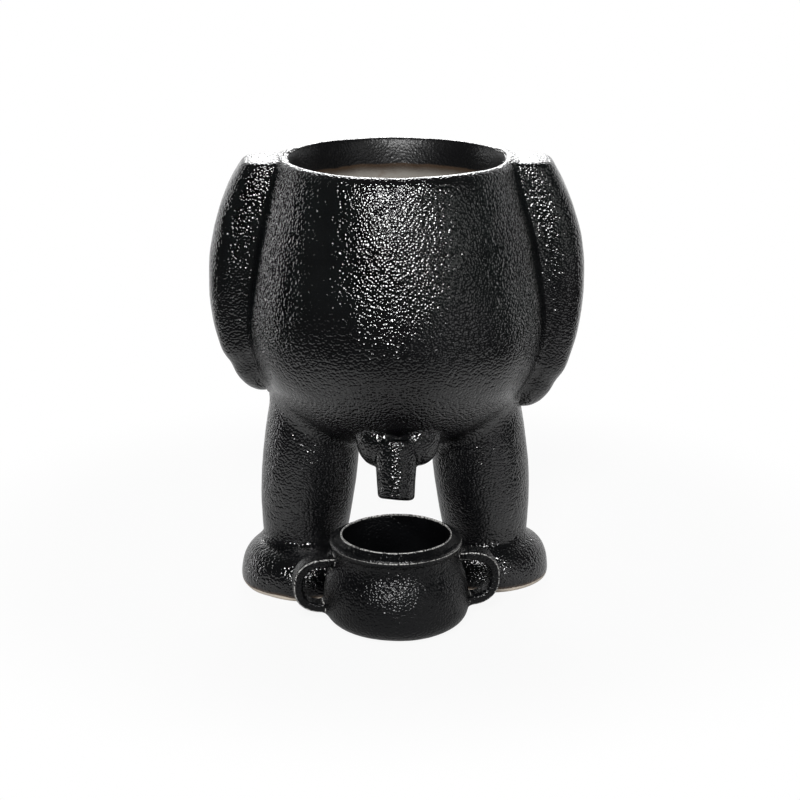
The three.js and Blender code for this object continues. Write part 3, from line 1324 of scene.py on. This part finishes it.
@dataclass
class Planter:
    """The figure: a pot with arms, legs, feet, lobes and a drain spout luted to it."""

    wares: Clayware
    spout_rise: float = 10.5
    spout_proud: float = 4.6
    sunk: float = 0.8
    arm_slip: float = 2.2
    hip_slip: float = 5.0
    ankle_slip: float = 1.8
    spout_slip: float = 1.5
    lobe_slip: float = 1.2
    arm_length: Sides = each_side(66.2, 70.2)
    shoulder_width: Sides = each_side(22.0, 22.5)
    hand_width: Sides = each_side(15.5, 21.0)
    leg_out: Sides = each_side(26.7, 26.0)
    foot_ahead: Sides = each_side(4.8, 0.2)
    foot_stretch: Sides = each_side(1.1, 1.0)
    lobe_out: Sides = each_side(4.7, 5.6)

    def __post_init__(self) -> None:
        """Takes the pot's main sizes and the figure's place from the frame."""
        low, high = (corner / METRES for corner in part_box("pot_body"))
        self.axis: Triple = (0.0, (low.y + high.y) / 2, 0.0)
        self.pot = Pot(height=high.z, underside=low.z, belly_radius=(high.x - low.x) / 2)
        top = self.pot.underside + self.spout_rise
        radius = self.pot.radius_at(top)
        self.spout = Spout(top, radius + self.spout_proud)
        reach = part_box("right_arm")[1].x / METRES
        self.arms = [
            Arm(s, self.arm_length[s], self.shoulder_width[s], self.hand_width[s], reach)
            for s in Side
        ]
        self.legs = [Leg(s, self.leg_out[s]) for s in Side]
        self.feet = [
            Foot(s, self.leg_out[s], self.foot_ahead[s], self.foot_stretch[s]) for s in Side
        ]
        self.lobes = [Lobe(s, self.lobe_out[s]) for s in Side]

    def build(self) -> None:
        """Makes and dresses every piece of the figure."""
        pot = Contact(self.pot.plug())
        arms = [arm.skin(self.pot) for arm in self.arms]
        legs = [leg.skin(self.pot) for leg in self.legs]
        feet = [foot.skin() for foot in self.feet]
        lobes = [lobe.skin(self.pot, self.spout) for lobe in self.lobes]
        spout = Contact(self.spout.plug())
        shell = luted(
            self.pot.skin(),
            [(Contact(skin), self.arm_slip) for skin in arms]
            + [(Contact(skin), self.hip_slip) for skin in legs]
            + [(Contact(skin), self.lobe_slip) for skin in lobes]
            + [(spout, self.spout_slip)],
        )
        body = self.wares.add(shell, "pot_body", self.axis)
        for side, arm, leg, foot, lobe in zip(Side, arms, legs, feet, lobes):
            ankle, sole = Contact(leg), Contact(foot)
            pieces = {
                "arm": seated(arm, pot, self.arm_slip, self.sunk),
                "leg": seated(luted(leg, [(sole, self.ankle_slip)]), pot, self.hip_slip, self.sunk),
                "foot": luted(foot, [(ankle, self.ankle_slip)]),
                "lobe": seated(
                    luted(lobe, [(spout, self.spout_slip)]), pot, self.lobe_slip, self.sunk
                ),
            }
            for name, skin in pieces.items():
                self.wares.add(skin, f"{side.label}_{name}", self.axis)
        stub = seated(self.spout.skin(), pot, self.spout_slip, self.sunk)
        stub = self.wares.add(stub, "spout", self.axis)
        drain = self.spout.drain().moved(self.axis).to_object("drain", [])
        for piece in (body, stub):
            bored(piece, drain)
        bpy.data.objects.remove(drain)


# The cup


@dataclass
class CupBowl:
    """The cup's bowl: a low belly, a soft neck and a thick rim with a fine bead round the mouth."""

    height: float
    belly_radius: float
    belly_height: float = 6.0
    base_radius: float = 12.0
    neck_radius: float = 17.0
    rim_radius: float = 18.1
    slope_at: float = 0.66
    rim_height: float = 5.0
    rim_side: float = 2.8
    rim_edge: float = 1.5
    rim_drop: float = 1.2
    bead: float = 0.32
    mouth_radius: float = 14.7
    wall: float = 3.2
    floor: float = 3.0
    step: float = 0.5
    sides: int = 250

    def outside(self) -> Outline:
        """Draws the outside.

        Returns:
            The outline from the middle of the base to the side of the rim.
        """
        neck = self.height - self.rim_height
        slope = self.belly_height + self.slope_at * (neck - self.belly_height)
        drawn = Outline((0.0, 0.0), self.step).bend((self.base_radius, 0.0))
        drawn.bend((self.belly_radius, 0.0), (self.belly_radius, self.belly_height))
        drawn.bend(
            (self.belly_radius, slope),
            (self.neck_radius, slope),
            (self.neck_radius, neck),
        )
        side = neck + self.rim_side / 2
        return drawn.bend(
            (self.neck_radius, side),
            (self.rim_radius, side),
            (self.rim_radius, neck + self.rim_side),
        )

    def skin(self) -> Skin:
        """Draws and turns the whole bowl, outside and inside.

        Returns:
            The closed skin.
        """
        within = self.belly_radius - self.wall
        slope = (self.belly_height + self.height - self.rim_height) / 2
        drawn = self.outside()
        rim_top = self.height - self.rim_drop
        bead_foot = self.mouth_radius + 2 * self.bead
        drawn.step = self.bead / 3
        drawn.bend((self.rim_radius, rim_top), (self.rim_radius - self.rim_edge, rim_top))
        drawn.bend((bead_foot, self.height - self.bead))
        drawn.bend((bead_foot, self.height), (bead_foot - self.bead, self.height))
        drawn.bend((self.mouth_radius, self.height), (self.mouth_radius, self.height - self.bead))
        drawn.step = self.step
        drawn.bend(
            (self.mouth_radius, slope),
            (within, slope),
            (within, self.belly_height),
        )
        drawn.bend((within, self.floor), (self.base_radius - self.wall, self.floor))
        drawn.bend((0.0, self.floor))
        return Skin.turned(drawn, self.sides)

    def plug(self) -> Skin:
        """The filled outside, for measuring against."""
        drawn = self.outside().bend((self.rim_radius, self.height)).bend((0.0, self.height))
        return Skin.turned(drawn, self.sides)


@dataclass
class CupHandle:
    """One loop handle: a flat-faced band bent to a half oval."""

    side: Side
    reach: float = 28.6
    top: float = 19.8
    bottom: float = 4.0
    thickness: float = 2.9
    width: float = 5.5
    bend_squareness: float = 0.85
    outer_squareness: float = 0.36
    inner_squareness: float = 0.62
    rings: int = 90
    sides: int = 56

    def skin(self, bowl: CupBowl) -> Skin:
        """Bends the band, whose two ends lie in the bowl's wall.

        Args:
            bowl: The bowl that carries it.

        Returns:
            The closed skin, on its own side.
        """
        half = self.thickness / 2
        root = bowl.neck_radius - bowl.wall / 2
        out = self.reach - half - bowl.belly_radius
        middle = (self.top + self.bottom) / 2
        rise = (self.top - self.bottom) / 2 - half
        turn = np.radians(np.linspace(-90.0, 90.0, self.rings - 2))
        arc_out = bowl.belly_radius + out * squared(np.cos(turn), self.bend_squareness)
        arc_up = middle + rise * squared(np.sin(turn), self.bend_squareness)
        spine = np.column_stack(
            [np.r_[root, arc_out, root], np.r_[middle - rise, arc_up, middle + rise]]
        )
        along = np.gradient(spine, axis=0)
        along /= np.linalg.norm(along, axis=1, keepdims=True)
        angle = np.linspace(0.0, 2 * np.pi, self.sides, endpoint=False)
        squareness = np.where(np.cos(angle) > 0, self.outer_squareness, self.inner_squareness)
        thick = half * squared(np.cos(angle), squareness)
        wide = self.width / 2 * squared(np.sin(angle), squareness)
        rings = [
            np.column_stack([at[0] + thick * way[1], wide, at[1] - thick * way[0]])
            for at, way in zip(spine, along)
        ]
        ends = [ring.mean(axis=0)[None] for ring in (rings[0], rings[-1])]
        return Skin.lofted([ends[0], *rings, ends[1]]).mirrored(self.side)


@dataclass
class DripCup:
    """The loose cup that catches what the spout drains."""

    wares: Clayware
    turn: float = 8.0
    handle_slip: float = 1.6
    sunk: float = 1.0

    def __post_init__(self) -> None:
        """Takes the bowl's main sizes and the cup's place from the frame."""
        low, high = (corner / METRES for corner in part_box("cup_bowl"))
        self.place: Triple = (0.0, (low.y + high.y) / 2, 0.0)
        self.bowl = CupBowl(height=high.z, belly_radius=(high.x - low.x) / 2)
        self.handles = [CupHandle(side) for side in Side]

    def build(self) -> None:
        """Makes and dresses every piece of the cup."""
        bowl = Contact(self.bowl.plug())
        bands = [handle.skin(self.bowl) for handle in self.handles]
        vessel = luted(self.bowl.skin(), [(Contact(band), self.handle_slip) for band in bands])
        self.wares.add(vessel, "cup_bowl", self.place, self.turn)
        for side, band in zip(Side, bands):
            band = seated(band, bowl, self.handle_slip, self.sunk)
            self.wares.add(band, f"cup_{side.label}_handle", self.place, self.turn)


# The studio


@dataclass(frozen=True)
class Softbox:
    """A soft lamp that faces a point on the object."""

    name: str
    azimuth: float
    elevation: float
    distance: float
    size: Pair
    radiance: float
    aim: Triple = (0.0, 0.0, 0.075)

    def hang(self) -> None:
        """Puts the lamp in the scene, unseen by the camera itself."""
        lamp = bpy.data.lights.new(self.name, "AREA")
        lamp.shape = "RECTANGLE"
        lamp.size, lamp.size_y = self.size
        lamp.energy = math.pi * self.size[0] * self.size[1] * self.radiance
        across, up = math.radians(self.azimuth), math.radians(self.elevation)
        away = Vector(
            (math.sin(across) * math.cos(up), -math.cos(across) * math.cos(up), math.sin(up))
        )
        made = bpy.data.objects.new(self.name, lamp)
        made.location = Vector(self.aim) + away * self.distance
        made.rotation_euler = away.to_track_quat("Z", "Y").to_euler()
        made.visible_camera = False
        bpy.context.scene.collection.objects.link(made)


@dataclass
class Studio:
    """A white table and backdrop, soft lamps and the camera."""

    lamps: Sequence[Softbox] = (
        Softbox("key", -5.0, 32.5, 1.1, (0.30, 0.25), 51.0),
        Softbox("left_strip", -120.0, 3.0, 0.9, (0.08, 0.54), 7.2),
        Softbox("right_strip", 119.0, 3.0, 0.9, (0.14, 0.54), 2.0),
        Softbox("right_fill", 46.0, 12.0, 1.0, (0.50, 0.60), 0.9),
        Softbox("back_top", 180.0, 32.0, 0.9, (0.34, 0.62), 11.0),
    )
    table_radius: float = 0.165
    table_sides: int = 96
    table_back: float = 0.03
    table_fade: Pair = (0.09, 0.16)
    table_tone: Colour = tone(0.51, 0.51, 0.51)
    table_light: float = 0.92
    room_light: float = 0.20
    room_dark: float = 0.045
    backdrop_from: Pair = (0.45, 0.97)
    camera_place: Triple = (0.00104, -0.57125, 0.22891)
    camera_pitch: float = 16.99
    lens: float = 95.35
    sensor: float = 36.0

    def build(self) -> None:
        """Sets the table, the room, the lamps and the camera."""
        self._table()
        self._room()
        for lamp in self.lamps:
            lamp.hang()
        self._camera()
        bpy.context.scene.view_settings.view_transform = "Standard"

    def _table(self) -> None:
        """A round white table that keeps the object's shadow."""
        angles = np.linspace(0.0, 2 * np.pi, self.table_sides, endpoint=False)
        edge = np.column_stack([np.cos(angles), np.sin(angles), np.zeros_like(angles)])
        edge = edge * self.table_radius + np.array([0.0, self.table_back, 0.0])
        mesh = bpy.data.meshes.new("table")
        mesh.from_pydata(edge.tolist(), [], [list(range(len(edge)))])
        white = bpy.data.materials.new("table_white")
        recipe = Recipe(white)
        matt = recipe.node("ShaderNodeBsdfDiffuse", inputs={"Color": self.table_tone})
        glow = recipe.node("ShaderNodeEmission", inputs={"Color": WHITE, "Strength": 1.0})
        across, along, _ = recipe.parts(recipe.node("ShaderNodeTexCoord").outputs["Object"])
        along = along - self.table_back
        outer = (across * across + along * along).eased(*(far**2 for far in self.table_fade))
        seen = recipe.ray("Is Camera Ray", "Is Transmission Ray")
        seen = seen * (outer * (1.0 - self.table_light) + self.table_light)
        both = recipe.node(
            "ShaderNodeMixShader", inputs={0: seen, 1: matt.outputs[0], 2: glow.outputs[0]}
        )
        recipe.node("ShaderNodeOutputMaterial", inputs={"Surface": both.outputs[0]})
        mesh.materials.append(white)
        table = bpy.data.objects.new("table", mesh)
        bpy.context.scene.collection.objects.link(table)

    def _room(self) -> None:
        """White to the eye, white behind the object in reflections, and an even soft light."""
        world = bpy.data.worlds.new("room")
        bpy.context.scene.world = world
        recipe = Recipe(world)
        heading = recipe.node("ShaderNodeTexCoord").outputs["Generated"]
        behind = recipe.parts(heading)[1].eased(*self.backdrop_from)
        reflected = behind * (1 - self.room_dark) + self.room_dark
        seen = recipe.ray("Is Camera Ray", "Is Transmission Ray")
        mirrored = recipe.ray("Is Glossy Ray")
        strength = self.room_light + mirrored * (reflected - self.room_light)
        strength = strength + seen * (1.0 - strength)
        light = recipe.node("ShaderNodeBackground", inputs={"Color": WHITE, "Strength": strength})
        recipe.node("ShaderNodeOutputWorld", inputs={"Surface": light.outputs[0]})

    def _camera(self) -> None:
        """The camera at the photograph's height and angle."""
        lens = bpy.data.cameras.new("camera")
        lens.lens = self.lens
        lens.sensor_width = self.sensor
        camera = bpy.data.objects.new("camera", lens)
        camera.location = self.camera_place
        camera.rotation_euler = (math.radians(90.0 - self.camera_pitch), 0.0, 0.0)
        bpy.context.scene.collection.objects.link(camera)
        bpy.context.scene.camera = camera


def main() -> None:
    """Builds the planter, the cup and the studio in order."""
    logging.basicConfig(level=logging.INFO, format="%(name)s: %(message)s")
    pot_outside = Finish("pot_glaze", Glaze(), Clay(), edge_height=1.2, waver=0.3)
    # Bare clay inside the pot, its pale tone darkened well below the outside clay's as painted
    # shade inside the pot; the toasted marks are the clay's own.
    shaded_clay = Clay(pale=tone(0.34, 0.32, 0.29), toasted=tone(0.16, 0.09, 0.06), blush_size=6.0)
    inner_coat = Glaze(gloss=(0.32, 0.42), index=1.44, dome_height=0.08, lump_height=0.03)
    # Inside, the glaze fades out over a wide band, so the bare clay darkens towards the glaze line:
    # partly a soft glaze edge and partly painted shade under the lip.
    pot_inside = Finish(
        "pot_inside",
        inner_coat,
        shaded_clay,
        edge_height=111.2,
        waver=0.3,
        edge_width=3.6,
        brown_width=4.2,
    )
    # The cup's glaze paints a pale glint, a painted highlight, along its bead, rim and handle
    # edges.
    cup_coat = Glaze(
        gloss=(0.13, 0.21), index=1.37, dome_size=0.64, dome_height=0.215, breaking=0.9
    )
    cup_outside = Finish("cup_glaze", cup_coat, Clay(), edge_height=0.3, waver=0.1)
    Planter(Clayware("planter", "pot_glaze", [pot_outside, pot_inside])).build()
    DripCup(Clayware("cup", "cup_glaze", [cup_outside], unevenness=0.6)).build()
    Studio().build()


if __name__ == "__main__":
    main()
